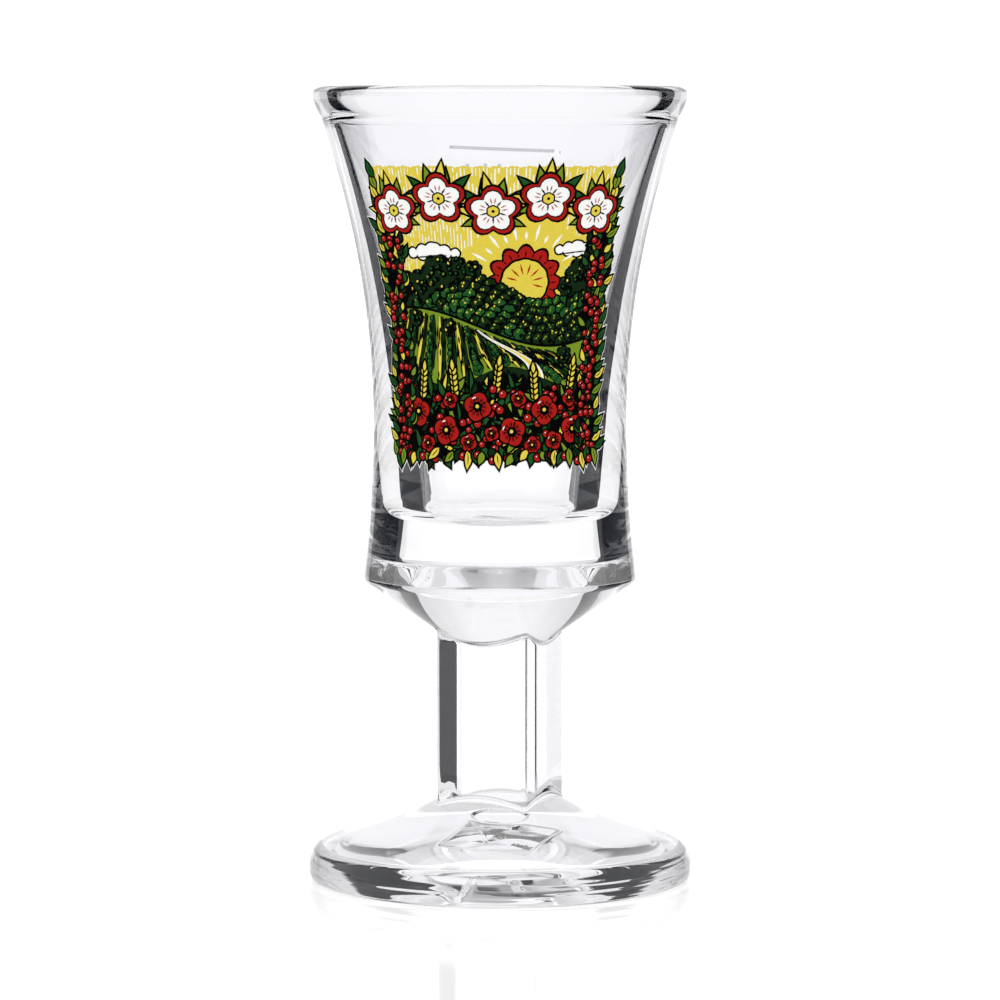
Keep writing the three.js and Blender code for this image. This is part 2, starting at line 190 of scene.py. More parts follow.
def stem_directions():
    """Directions of the mesh's columns, closer together at the stem's four soft corners."""
    corner = math.pi / 4 - math.atan2(STEM_HALF - STEM_CORNER, STEM_HALF)
    around_corner = np.linspace(-corner, corner, 13)[:-1]
    along_face = np.linspace(corner, math.pi / 2 - corner, 33)[:-1]
    quarter = np.concatenate([around_corner, along_face])
    return np.concatenate([STEM_TURN + math.pi / 4 + math.pi / 2 * k + quarter for k in range(4)])


RIPPLE, RIPPLE_FULL_RADIUS = 0.004, 10.0


def ripple(radius, direction, z):
    """The mould's slight unevenness, with waves of 12 to 20 mm up the glass. It dies out at the axis."""
    waves = np.sin(3 * direction + 0.31 * z) + np.sin(5 * direction - 0.52 * z + 1.3) - 2
    return RIPPLE * waves * np.clip(radius / RIPPLE_FULL_RADIUS, 0, 1)


def mesh_piece(name, points, faces, smooth=True):
    mesh = bpy.data.meshes.new(name)
    mesh.from_pydata((np.asarray(points) * MM).tolist(), [], faces)
    mesh.polygons.foreach_set("use_smooth", [smooth] * len(mesh.polygons))
    mesh.update()
    piece = bpy.data.objects.new(name, mesh)
    bpy.context.scene.collection.objects.link(piece)
    return piece


RING_DEPTH, RING_PITCH, RING_LOWEST, RING_HIGHEST, RING_REACH = 0.03, 0.8, 0.1, 3.7, 3.0


def chill_rings(direction, z):
    """Fine rings round the foot's side, where the glass met the cold mould. They waver and fade."""
    window = np.clip((z - RING_LOWEST) / 0.4, 0, 1) * np.clip((RING_HIGHEST - z) / 1.2, 0, 1)
    depth = RING_DEPTH * (0.65 + 0.35 * np.sin(2 * direction + 0.7)) * window
    return depth * (np.sin(2 * math.pi * z / RING_PITCH + 0.8 * np.sin(3 * direction)) - 1)


SEAM_DIRECTION, SEAM_HALF_WIDTH = STEM_TURN + math.radians(45 - 1.8), math.radians(0.6)
SEAM_RIDGE, SEAM_FOOT, SEAM_FADE = 0.08, 82.4, 3.5


def seam(direction, z):
    """The mould's seam: a low ridge on the outside of the wall, melted away below the fill line."""
    ridge = SEAM_RIDGE * np.clip(1 - np.abs(direction - SEAM_DIRECTION) / SEAM_HALF_WIDTH, 0, 1)
    return ridge * np.clip((z - SEAM_FOOT) / SEAM_FADE, 0, 1) * np.clip((RIM_JOIN - z) / 0.4, 0, 1)


def glass_mesh():
    """The whole glass as one closed mesh: the half section swept round, with the square stem melted in."""
    rows, columns = glass_rows(), stem_directions()
    radius, height, stem = (rows[:, k][:, None] for k in range(3))
    direction = columns[None, :]
    outside = np.isclose(radius, wall_radius(height)) & (height > SHOULDER_HEIGHT) & (height < RIM_JOIN)
    radius = radius + seam(direction, height) * outside
    radius = np.where(stem > 0, melted(radius, stem_reach(direction)), radius)
    radius = radius + ripple(radius, direction, height)
    foot_side = (radius > FOOT_RADIUS - RING_REACH) & (height < FOOT_EDGE_TOP)
    radius = radius + chill_rings(direction, height) * foot_side
    across, along = radius * np.sin(direction), -radius * np.cos(direction)
    rings = np.stack(np.broadcast_arrays(across, along, height), axis=-1)
    count, around = rings.shape[:2]
    points = [*rings.reshape(-1, 3), (0, 0, CUP_FLOOR), (0, 0, HOLLOW_DEPTH - MARK_DEPTH)]
    top, under, last = count * around, count * around + 1, (count - 1) * around
    faces = []
    for j in range(around):
        beside = (j + 1) % around
        faces.append((top, j, beside))
        faces.append((under, last + beside, last + j))
        for ring in range(0, last, around):
            below = ring + around
            faces.append((ring + j, below + j, below + beside, ring + beside))
    return mesh_piece("glass", points, faces)


def linear(colour):
    """A colour written as sRGB hex, as the linear colour that shaders take."""
    channels = [int(colour[k:k + 2], 16) / 255 for k in (0, 2, 4)]
    return [c / 12.92 if c <= 0.04045 else ((c + 0.055) / 1.055) ** 2.4 for c in channels] + [1]


def add(tree, kind, settings=None, links=None):
    """Adds one node. Settings fills fields and sockets, and links brings in other nodes' outputs."""
    node = tree.nodes.new(kind)
    for key, value in (settings or {}).items():
        if isinstance(key, str) and hasattr(node, key):
            setattr(node, key, value)
        else:
            node.inputs[key].default_value = value
    for key, source in (links or {}).items():
        tree.links.new(source, node.inputs[key])
    return node


def new_material(name):
    material = bpy.data.materials.new(name)
    material.use_nodes = True
    material.node_tree.nodes.clear()
    return material, material.node_tree


# Pressed soda-lime glass, polished by fire: IOR 1.52, smooth and all but colourless. The eye sees
# only what it bends and mirrors, and the mould's waves and rings are in its mesh.
pressed_glass, tree = new_material("pressed_soda_lime_glass")
body = add(tree, "ShaderNodeBsdfPrincipled", {
    "Base Color": linear("FDFDFE"), "Transmission Weight": 1.0, "IOR": 1.52, "Roughness": 0.0,
})
add(tree, "ShaderNodeOutputMaterial", {}, {"Surface": body.outputs["BSDF"]})

glass = glass_mesh()
glass.data.materials.append(pressed_glass)
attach(glass, "root")
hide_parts("bowl", "stem", "foot")

# The picture: enamel colours screen-printed on the outside of the cup and fired on at 600 degrees.
# Every colour is a flat skin 0.03 mm thick on a white ground, and each butts against the next.
# Lengths in it are millimetres on the wall, and its fine strokes are 0.1 to 0.4 mm wide, as in real prints.
SKIN, SINK, INK_SINK = 0.03, 0.01, 0.004
PICTURE_BOTTOM, PICTURE_HEIGHT, PICTURE_WIDTH = 48.0, 34.5, 28.9
PICTURE_RADIUS, PICTURE_TURN = 15.6, math.radians(-2.5)
HALF_WIDTH = PICTURE_WIDTH / 2 - 0.7
dice = random.Random(11)
shapes = []


def on_wall(u, v, lift):
    """A place in the picture, u to the right along the wall and v up, lifted off the glass."""
    z = PICTURE_BOTTOM + v
    angle = u / PICTURE_RADIUS + PICTURE_TURN
    radius = wall_radius(z) + lift
    return np.stack([radius * np.sin(angle), -radius * np.cos(angle), z], axis=-1)


def paint(piece, outline):
    """Lays a closed outline of (u, v) points over what is painted already."""
    shapes.append((piece, np.asarray(outline, float)))


def line_shape(path, width, taper=False):
    """The outline of a stroke along a path, pointed at both ends where it tapers."""
    path = np.asarray(path, float)
    along = np.gradient(path, axis=0)
    along /= np.linalg.norm(along, axis=1)[:, None]
    across = np.stack([-along[:, 1], along[:, 0]], axis=1)
    half = np.full(len(path), width / 2)
    if taper:
        half *= np.sin(np.linspace(0.12, math.pi - 0.12, len(path))) ** 0.7
    half = half[:, None]
    return np.vstack([path - across * half, (path + across * half)[::-1]])


def head_shape(u, v, radius, petals, spread, turn=0.0, points=6):
    """A round head whose petals or rays reach out by a share of its radius."""
    angle = np.linspace(0, 2 * math.pi, petals * points, endpoint=False)
    reach = radius * (1 - spread + spread * np.abs(np.cos(petals * angle / 2)))
    return np.stack([u + reach * np.sin(angle + turn), v + reach * np.cos(angle + turn)], axis=1)


def spoke(u, v, angle, reaches):
    """Points at some distances from (u, v), in a direction turned from straight up to the right."""
    return [(u + r * math.sin(angle), v + r * math.cos(angle)) for r in reaches]


def leaf_middle(u, v, length, turn, curl, share):
    """Points along a leaf's middle from its foot at (u, v). It sets off at a turn and curls away from it."""
    bow = turn + curl * np.sin(math.pi * share / 2) ** 2
    return np.stack([u + length * share * np.sin(bow), v + length * share * np.cos(bow)], axis=1)


def leaf_shape(u, v, length, width, turn, curl, grow=0.0):
    """A pointed leaf's outline, widened all round by grow."""
    share = np.linspace(0, 1, 7)
    middle = leaf_middle(u, v, length, turn, curl, share)
    if grow:
        first, last = middle[1] - middle[0], middle[-1] - middle[-2]
        middle[0] -= first / np.linalg.norm(first) * grow
        middle[-1] += last / np.linalg.norm(last) * grow * 1.8
    along = np.gradient(middle, axis=0)
    along /= np.linalg.norm(along, axis=1)[:, None]
    across = np.stack([-along[:, 1], along[:, 0]], axis=1)
    half = (width / 2 * np.sin(math.pi * share**0.8) + grow)[:, None]
    half[0] = half[-1] = 0
    return np.vstack([middle - across * half, (middle + across * half)[::-1][1:-1]])


LEAF_EDGE, GROUND_EDGE, VEIN, VEINED_LENGTH = 0.25, 0.36, 0.13, 1.5


def leaf(piece, u, v, length, width, turn, curl=0.0, vein=True, proud=False):
    """A leaf with a black edge and a vein. One that stands out over the edge has white ground round it."""
    if proud:
        shapes.insert(0, ("white_ground", leaf_shape(u, v, length, width, turn, curl, GROUND_EDGE)))
    paint("black_lines", leaf_shape(u, v, length, width, turn, curl, LEAF_EDGE))
    paint(piece, leaf_shape(u, v, length, width, turn, curl))
    if vein and length > VEINED_LENGTH:
        path = leaf_middle(u, v, length, turn, curl, np.linspace(0.08, 0.72, 5))
        paint("black_lines", line_shape(path, VEIN, taper=True))


def meadow_line(u):
    return 10.6 + 1.1 * np.sin(0.42 * u + 0.8)


def near_hill_line(u):
    return 16.2 - 2.1 * np.sin(0.19 * u + 0.3)


def far_hill_line(u):
    return 20.6 + 1.5 * np.cos(0.38 * u + 1.1)


def band(piece, lower, upper):
    """A field right across the picture, between two lines that are given as functions of u."""
    u = np.linspace(-HALF_WIDTH, HALF_WIDTH, 130)
    paint(piece, np.vstack([np.stack([u, lower(u)], axis=1), np.stack([u, upper(u)], axis=1)[::-1]]))


def sky_line(u):
    return 34.05 + 0.08 * np.sin(4.1 * u) + 0.07 * np.sin(11.3 * u + 1)


# Yellow sky, with the white hatching of an engraved plate, kept clear of the sun and its rays
band("yellow_sky", far_hill_line, sky_line)
SUN, HATCH_CLEAR = (3.4, 21.2), 7.0
HATCH_PITCH, HATCH_HIGHEST_START, HATCH_TOP = 0.36, 33.6, 33.9
for u in np.arange(-HALF_WIDTH + 0.3, HALF_WIDTH - 0.3, HATCH_PITCH):
    v = float(far_hill_line(u)) + dice.uniform(0.3, 1.2)
    while v < HATCH_HIGHEST_START:
        top = min(v + dice.uniform(0.7, 2.6), HATCH_TOP)
        lean = dice.uniform(-0.03, 0.03)
        if math.hypot(u - SUN[0], v - SUN[1]) > HATCH_CLEAR:
            path = [(u, v), (u + lean, (v + top) / 2), (u, top)]
            paint("white_ground", line_shape(path, dice.uniform(0.09, 0.17)))
        v = top + dice.uniform(0.25, 1.5)

# Two white clouds, each of five bulges in a row, with a few strokes along the bottom
for u, v, size in ((-6.6, 24.3, 1.0), (9.2, 24.7, 0.85)):
    for piece, grow in (("black_lines", 0.2), ("white_ground", 0.0)):
        for k, bulge in enumerate((0.55, 0.85, 1.05, 0.8, 0.5)):
            place = u + 1.25 * size * (k - 2), v + 0.25 * bulge * size
            paint(piece, head_shape(*place, size * bulge + grow, 5, 0.06, k))
    for k in range(4):
        path = [(u + size * (0.8 * k - 2.4 + t), v - size * (0.35 - 0.08 * k)) for t in (0, 0.8, 1.6)]
        paint("black_lines", line_shape(path, 0.12, taper=True))

# A sun with red petals and white rays, half behind the far hills
SUN_RADIUS, CORE_RADIUS, SUN_PETALS = 4.05, 2.55, 12
for k in range(-7, 8):
    start, end = SUN_RADIUS + 0.7, 6.6 if k % 2 else 5.7
    ray = spoke(*SUN, k * math.pi / 15, (start, (start + end) / 2, end))
    paint("white_ground", line_shape(ray, 0.34, taper=True))
paint("black_lines", head_shape(*SUN, SUN_RADIUS + 0.31, SUN_PETALS, 0.18))
paint("sun", head_shape(*SUN, SUN_RADIUS, SUN_PETALS, 0.2))
paint("black_lines", head_shape(*SUN, CORE_RADIUS + 0.25, SUN_PETALS, 0.03))
paint("sun_core", head_shape(*SUN, CORE_RADIUS, SUN_PETALS, 0.03))
for k in range(-8, 9):
    stroke = spoke(*SUN, k * math.pi / SUN_PETALS, (2.8, 3.15, 3.2 if k % 2 else 3.6))
    paint("black_lines", line_shape(stroke, 0.17, taper=True))
for k in range(-3, 4):
    ray = spoke(*SUN, k * math.pi / 6 + math.pi / 12, (0.9, 1.5, 2.1))
    paint("sun", line_shape(ray, 0.22, taper=True))

# Far hills, a wood of crowns in rows, with single trees along the ridge
band("black_lines", lambda u: near_hill_line(u) - 0.2, lambda u: far_hill_line(u) + 0.16)
band("far_hills", lambda u: near_hill_line(u) + 0.1, lambda u: far_hill_line(u) - 0.1)


def crown(u, v, radius, piece):
    """The crown of one tree in a wood: lit from the upper left, hatched black in its shade."""
    turn = dice.uniform(0, 1)
    paint("black_lines", head_shape(u, v, radius + 0.2, 6, 0.14, turn, 4))
    paint(piece, head_shape(u, v, radius, 6, 0.16, turn, 4))
    for k in range(3):
        [spot] = spoke(u, v, dice.uniform(-1.9, 0.5), [radius * (0.3 + 0.2 * k)])
        green = dice.choice(["near_hill", "near_hill", "far_hills", "sun_core"])
        paint(green, leaf_shape(*spot, 0.4 * radius, 0.18, dice.uniform(-1.2, 0.8), 0.3))
    for k in range(3):
        path = spoke(u, v, 1.75 + 0.5 * k, (0.1 * radius, 0.5 * radius, 0.9 * radius))
        paint("black_lines", line_shape(path, 0.26, taper=True))


def round_tree(u, v, radius):
    """A tree by itself: a trunk, a dark crown and clusters of leaves, with more of them lit on the left."""
    middle = v + 0.5 * radius
    paint("black_lines", line_shape([(u, v - 1.1 * radius), (u + 0.05, v), (u, v + 0.4 * radius)], 0.3))
    paint("black_lines", head_shape(u, middle, radius + 0.17, 7, 0.16, dice.uniform(0, 1)))
    paint("meadow", head_shape(u, middle, radius, 7, 0.18, dice.uniform(0, 1)))
    for _ in range(int(9 * radius)):
        a, r = dice.uniform(0, 2 * math.pi), radius * dice.uniform(0.1, 0.9)
        lit = dice.random() < 0.5 - 0.4 * math.sin(a - 0.6)
        [(spot_u, spot_v)] = spoke(u, middle, a, [r])
        paint("black_lines", head_shape(spot_u, spot_v, 0.36, 5, 0.2, a, 3))
        green = dice.choice(["near_hill", "far_hills", "sun_core"]) if lit else "far_hills"
        paint(green, leaf_shape(spot_u - 0.12, spot_v - 0.1, 0.34, 0.24, dice.uniform(-1.4, 0.6), 0.3))


CROWN_ROWS, CROWN_PITCH, CROWN_DROP = 7, 1.1, 0.95
for row in range(CROWN_ROWS):
    for u in np.arange(-13.6 + CROWN_PITCH / 2 * (row % 2), 13.8, CROWN_PITCH):
        u += dice.uniform(-0.15, 0.15)
        v = float(far_hill_line(u)) - 0.5 - CROWN_DROP * row + dice.uniform(-0.1, 0.1)
        if v > float(near_hill_line(u)) + 0.3:
            crown(u, v, dice.uniform(0.62, 0.8), ("far_hills", "meadow", "meadow")[(row + int(3 * u)) % 3])
RIDGE_TREES = [(-11.3, 2.3), (-8.6, 1.7), (-6.2, 2.0), (-3.9, 1.2),
               (-2.2, 0.9), (8.4, 1.2), (9.9, 1.9), (12.1, 2.4)]
for u, size in RIDGE_TREES:
    round_tree(u, float(far_hill_line(u)) + 0.2, size)

# Near hill: a field in rows that lean towards its top, and a pale path that winds up to the ridge
band("black_lines", lambda u: meadow_line(u) - 0.2, lambda u: near_hill_line(u) + 0.16)
band("near_hill", lambda u: meadow_line(u) + 0.1, lambda u: near_hill_line(u) - 0.14)
FIELD_ROWS, FIRST_ROW, ROW_PITCH = 17, -13.2, 1.62


def row_top(foot):
    """Where a row of the field ends at its top, from where it starts at its foot."""
    return foot * 0.62 - 2.2


for k in range(FIELD_ROWS):
    foot = FIRST_ROW + ROW_PITCH * k
    t = np.linspace(0, 1, 9)
    u = mix(foot, row_top(foot), t)
    v = mix(meadow_line(u) + 0.2, near_hill_line(u) - 0.5, t)
    path = np.stack([u, v], axis=1)
    paint("meadow", line_shape(path + [0.25, 0], 1.15, taper=True))
    paint("far_hills" if k % 2 else "sun_core", line_shape(path, 0.34 if k % 2 else 0.4, taper=True))
for k in range(1, FIELD_ROWS, 2):
    foot = FIRST_ROW + ROW_PITCH * k
    for t in np.linspace(0.04, 0.96, 9) ** 1.15:
        size = mix(0.6, 0.2, t**0.7)
        u = mix(foot, row_top(foot), t)
        v = mix(meadow_line(foot) + 0.6, near_hill_line(row_top(foot)) - 0.6, t)
        turn = dice.uniform(0, 1)
        paint("black_lines", head_shape(u, v, size + 0.1, 5, 0.12, turn, 4))
        paint("far_hills", head_shape(u, v, size, 5, 0.14, turn, 4))
        paint("near_hill", leaf_shape(u - 0.45 * size, v - 0.1 * size, 0.7 * size, 0.3 * size, 0.5, 0.3))
FIELD_HATCHES, FIELD_HATCH_PITCH = 260, 0.102
for k in range(FIELD_HATCHES):
    foot = FIRST_ROW - 0.1 + FIELD_HATCH_PITCH * k
    start = dice.uniform(0.0, 0.85)
    t = np.linspace(start, min(start + dice.uniform(0.08, 0.26), 1), 4)
    u = mix(foot, row_top(foot), t)
    v = mix(meadow_line(u) + 0.3, near_hill_line(u) - 0.4, t)
    paint("black_lines", line_shape(np.stack([u, v], axis=1), 0.22, taper=True))
t = np.linspace(0, 1, 14)
middle = np.stack([4.8 - 5.2 * t + 1.5 * np.sin(4.6 * t), mix(9.9, 15.9, t)], axis=1)
half = mix(1.3, 0.14, t**0.6)[:, None]
for piece, grow in (("black_lines", 0.17), ("white_ground", 0.0), ("sun_core", -0.3)):
    side = np.maximum(half + grow, 0.02) * np.array([1, 0])
    paint(piece, np.vstack([middle - side, (middle + side)[::-1]]))
for u, size in ((-9.6, 1.0), (-5.2, 0.8), (8.4, 0.95), (11.6, 0.8)):
    round_tree(u, float(near_hill_line(u)) - 1.6, size)


def picture_foot(u):
    return np.full_like(u, 1.3)


def meadow_shade(u):
    return meadow_line(u) - 0.7 + 0.25 * np.sin(6 * u) + 0.15 * np.sin(17 * u)


# Meadow: dark ground, blades and ears of corn in front of it, then poppies and their buds
band("meadow", picture_foot, meadow_line)
band("black_lines", picture_foot, meadow_shade)
for _ in range(200):
    u = dice.uniform(-13.4, 13.4)
    v = dice.uniform(1.2, 9.2)
    turn = dice.gauss(0, 0.55)
    piece = dice.choice(["far_hills", "near_hill", "far_hills", "meadow", "sun_core"])
    length, width = dice.uniform(1.3, 2.9), dice.uniform(0.35, 0.65)
    leaf(piece, u, v, length, width, turn, dice.uniform(-0.6, 0.6), vein=False)


def corn_ear(u, v, turn):
    """An ear of five pairs of grains and a tip, on a stalk."""
    up = np.array([math.sin(turn), math.cos(turn)])
    foot = np.array([u, v])
    paint("black_lines", line_shape([foot - up * 3.2, foot - up * 1.5, foot], 0.3))
    for k in range(5):
        for sign in (-1, 1):
            spot = foot + up * (0.62 * k)
            leaf("sun_core", *spot, 1.05, 0.42, turn + 0.5 * sign, -0.2 * sign, vein=False)
    leaf("sun_core", *(foot + up * 3.0), 1.2, 0.42, turn, 0.0, vein=False)


CORN = [(-12.6, 9.4, -0.15), (-9.1, 8.2, 0.1), (-4.7, 8.4, -0.1), (0.2, 8.9, 0.12),
        (4.9, 8.1, -0.08), (9.3, 8.8, 0.14), (12.8, 8.5, 0.05)]
for u, v, turn in CORN:
    corn_ear(u, v, turn)


def poppy(u, v, radius):
    """A poppy of four petals, with strokes on them, a dark middle and one white gleam."""
    turn = dice.uniform(-0.5, 0.5)
    paint("black_lines", head_shape(u, v, radius + 0.24, 4, 0.2, turn))
    paint("poppies", head_shape(u, v, radius, 4, 0.22, turn))
    for k in range(4):
        between = (0.25 * radius, 0.55 * radius, 0.8 * radius)
        path = spoke(u, v, turn + math.pi / 4 + k * math.pi / 2, between)
        paint("black_lines", line_shape(path, 0.24, taper=True))
        for lean in (-0.42, -0.2, 0.2, 0.42):
            crease = (0.38 * radius, 0.52 * radius, 0.7 * radius)
            path = spoke(u, v, turn + k * math.pi / 2 + lean, crease)
            paint("black_lines", line_shape(path, 0.15, taper=True))
    paint("black_lines", head_shape(u, v, 0.4 * radius, 6, 0.16, turn))
    paint("sun_core", head_shape(u - 0.05, v + 0.05, 0.13 * radius, 3, 0.0))
    gleam = [spoke(u, v, turn - 0.7 + k, [0.68 * radius])[0] for k in (-0.25, 0, 0.25)]
    paint("white_ground", line_shape(gleam, 0.13 * radius, taper=True))


def bud(u, v, size):
    """A poppy's bud or a berry, with a white gleam."""
    paint("black_lines", head_shape(u, v, size + 0.2, 5, 0.05, points=3))
    paint("poppies", head_shape(u, v, size, 5, 0.05, points=3))
    paint("white_ground", head_shape(u - 0.25 * size, v + 0.3 * size, 0.22 * size, 3, 0.0, points=2))


for _ in range(90):
    bud(dice.uniform(-13.3, 13.3), dice.uniform(1.7, 9.6), dice.uniform(0.3, 0.46))
POPPIES = [(-9.8, 6.6), (-5.9, 4.6), (-2.0, 7.3), (2.1, 4.5), (6.1, 6.9), (9.9, 4.7)]
POPPY_RADIUS = 1.62
SMALL_POPPIES = [(-11.9, 3.2, 1.0), (-8.4, 3.1, 0.95), (-5.4, 8.0, 0.9), (-3.1, 3.3, 1.0), (-0.3, 4.3, 0.85),
                 (4.6, 3.0, 1.0), (2.9, 8.2, 0.9), (7.3, 3.5, 1.05), (9.4, 8.2, 0.95), (12.2, 7.6, 0.85)]
for u, v in POPPIES:
    poppy(u, v, POPPY_RADIUS)
for u, v, radius in SMALL_POPPIES:
    poppy(u, v, radius)


def hedge_side(side):
    """A hedge's outline, with a wavy side towards the picture's middle and a nearly straight one outside."""
    v = np.linspace(1.2, 27.2, 120)
    waves = 0.7 * np.sin(0.7 * v + 1 + side) + 0.3 * np.sin(2.3 * v + side) + 0.12 * np.sin(9 * v)
    inner = side * (HALF_WIDTH - 2.9 - waves)
    outer = side * (HALF_WIDTH - 0.1 + 0.12 * np.sin(4.1 * v))
    return np.vstack([np.stack([inner, v], axis=1), np.stack([outer, v], axis=1)[::-1]])


# Leafy border: a dark hedge with berries down both sides, whose tips stand out over the edge
for side in (-1, 1):
    paint("black_lines", hedge_side(side))
    for k, v in enumerate(np.arange(1.5, 27.4, 0.4)):
        piece = ("far_hills", "meadow", "near_hill", "far_hills", "meadow", "far_hills", "sun_core")[k % 7]
        turn = -side * dice.uniform(-0.2, 1.3)
        u = side * (HALF_WIDTH - dice.uniform(1.0, 3.0))
        leaf(piece, u, v, dice.uniform(1.0, 1.7), 0.56, turn, 0.4 * side)
    for k, v in enumerate(np.arange(1.6, 27.6, 0.88)):
        piece = ("near_hill", "far_hills", "sun_core", "far_hills")[k % 4]
        turn = side * dice.uniform(0.35, 1.35)
        u = side * (HALF_WIDTH - dice.uniform(0.2, 0.9))
        leaf(piece, u, v, dice.uniform(1.4, 2.0), 0.68, turn, -0.3 * side, proud=True)
    for v in np.arange(2.4, 27.0, 1.9):
        for _ in range(5):
            u = side * (HALF_WIDTH - 1.5 - dice.uniform(-1.0, 1.2))
            bud(u, v + dice.uniform(-0.8, 0.8), dice.uniform(0.28, 0.4))
for k, u in enumerate(np.arange(-13.2, 13.5, 0.9)):
    turn = math.pi + dice.uniform(-0.75, 0.75)
    piece = ("far_hills", "near_hill", "meadow", "sun_core")[k % 4]
    v, length = 2.2 + dice.uniform(-0.2, 0.5), dice.uniform(1.3, 2.1)
    leaf(piece, u, v, length, 0.8, turn, dice.uniform(-0.4, 0.4), proud=True)
    if k % 2 == 0:
        bud(u + 0.4, dice.uniform(1.1, 2.0), 0.42)

# Garland of white blossoms edged in red across the top
BLOSSOMS = [(mix(-10.9, 10.9, k / 4), 29.6 + (0.9 if k % 2 else -0.5)) for k in range(5)]
GARLAND_LEAVES = [(0.55, 3.6, "near_hill"), (1.15, 3.9, "far_hills"),
                  (1.75, 3.8, "sun_core"), (2.3, 3.3, "near_hill")]
for u, v in BLOSSOMS:
    for sign in (-1, 1):
        for turn, length, piece in GARLAND_LEAVES:
            leaf(piece, u, v, length + dice.uniform(-0.2, 0.2), 1.0, sign * turn, -0.25 * sign, proud=True)
    leaf("sun_core", u, v, 4.2, 1.0, dice.uniform(-0.2, 0.2), proud=True)
for side in (-1, 1):
    for k in range(6):
        piece = ("sun_core", "near_hill", "far_hills")[k % 3]
        turn = side * dice.uniform(0.2, 1.2)
        leaf(piece, side * (HALF_WIDTH - 0.9), 26.6 + 1.25 * k, 1.9, 0.8, turn, -0.3 * side, proud=True)
EDGE_RADIUS, BLOSSOM_RADIUS, BLOSSOM_PETALS = 2.78, 2.26, 5
for u, v in BLOSSOMS:
    paint("black_lines", head_shape(u, v, EDGE_RADIUS + 0.26, BLOSSOM_PETALS, 0.28))
    paint("blossom_edges", head_shape(u, v, EDGE_RADIUS, BLOSSOM_PETALS, 0.3))
    paint("black_lines", head_shape(u, v, BLOSSOM_RADIUS + 0.16, BLOSSOM_PETALS, 0.31))
    paint("white_ground", head_shape(u, v, BLOSSOM_RADIUS, BLOSSOM_PETALS, 0.32))
    for k in range(BLOSSOM_PETALS):
        petal = k * 2 * math.pi / BLOSSOM_PETALS
        path = spoke(u, v, math.pi / BLOSSOM_PETALS + petal, (0.5, 0.95, 1.35))
        paint("black_lines", line_shape(path, 0.18, taper=True))
        for lean in (-0.17, 0.17):
            path = spoke(u, v, petal + lean, (0.85, 1.15, 1.45))
            paint("blossom_edges", line_shape(path, 0.12, taper=True))
    paint("black_lines", head_shape(u, v, 0.72, 6, 0.08))
    paint("sun_core", head_shape(u, v, 0.56, 6, 0.08))
    paint("black_lines", head_shape(u, v, 0.17, 3, 0.0))


# The outlines are cut into triangles on a grid fine enough for the skins to follow the cup's curve,
# and points closer together than a ten-thousandth of a millimetre become one.
GRID, MERGE, SHARP_ANGLE = 0.7, 1e-4, math.radians(40)


def winding(spots, outline):
    """How often a closed outline winds round each spot, which is 0 outside it."""
    x, y = spots.T[:, :, None]
    (ax, ay), (bx, by) = outline.T, np.roll(outline, -1, axis=0).T
    side = (bx - ax) * (y - ay) - (x - ax) * (by - ay)
    return ((ay <= y) & (by > y) & (side > 0)).sum(axis=1) - ((ay > y) & (by <= y) & (side < 0)).sum(axis=1)


def cut(points, edges, nearest):
    """Triangles of the flat picture that follow all the edges, with a grid of points between them."""
    points = [Vector(p) for p in points]
    for u in np.arange(-HALF_WIDTH - 1.5, HALF_WIDTH + 1.5, GRID):
        points.extend(Vector((u, v)) for v in np.arange(-0.5, PICTURE_HEIGHT + 1, GRID))
    corners, _, triangles, *_ = delaunay_2d_cdt(points, edges, [], 0, nearest, False)
    return np.array([tuple(p) for p in corners]), np.array(triangles)


def paint_over(pieces):
    """Cuts all outlines where they cross. Each triangle goes to the piece that was painted there last."""
    points, edges = [], []
    for _, outline in shapes:
        first, count = len(points), len(outline)
        points.extend(outline)
        edges.extend((first + k, first + (k + 1) % count) for k in range(count))
    flat, triangles = cut(points, edges, MERGE)
    centre = flat[triangles].mean(axis=1)
    order = np.argsort(centre[:, 0])
    across = centre[order, 0]
    owner = np.full(len(triangles), -1)
    for piece, outline in shapes:
        (left, low), (right, high) = outline.min(axis=0), outline.max(axis=0)
        near = order[slice(*np.searchsorted(across, (left, right)))]
        near = near[(centre[near, 1] > low) & (centre[near, 1] < high)]
        owner[near[winding(centre[near], outline) != 0]] = pieces.index(piece)
    return flat, triangles, owner


def cut_again(flat, triangles, owner):
    """The same fields with no lines inside them: only borders are kept, and fields are filled from them."""
    sides = np.concatenate([triangles[:, [0, 1]], triangles[:, [1, 2]], triangles[:, [2, 0]]]).tolist()
    left = dict(zip(map(tuple, sides), np.tile(owner, 3).tolist()))
    borders = {side: field for side, field in left.items() if left.get(side[::-1], -1) != field}
    spots = sorted({spot for side in borders for spot in side})
    place = {spot: k for k, spot in enumerate(spots)}
    corners, triangles = cut(flat[spots], [(place[a], place[b]) for a, b in borders if a < b], 0)
    known = {tuple(flat[spot].tolist()): spot for spot in spots}
    spot_of = [known.get(tuple(corner)) for corner in corners.tolist()]
    triangles = triangles.tolist()
    beside = {(t[k], t[k - 2]): n for n, t in enumerate(triangles) for k in range(3)}
    owner = [None] * len(triangles)
    to_fill = [(n, borders[spot_of[a], spot_of[b]]) for (a, b), n in beside.items()
               if (spot_of[a], spot_of[b]) in borders]
    while to_fill:
        n, field = to_fill.pop()
        if owner[n] is None:
            owner[n] = field
            for k in range(3):
                a, b = triangles[n][k], triangles[n][k - 2]
                if (spot_of[a], spot_of[b]) not in borders and (b, a) in beside:
                    to_fill.append((beside[b, a], field))
    return corners, np.array(triangles), np.array([-1 if field is None else field for field in owner])


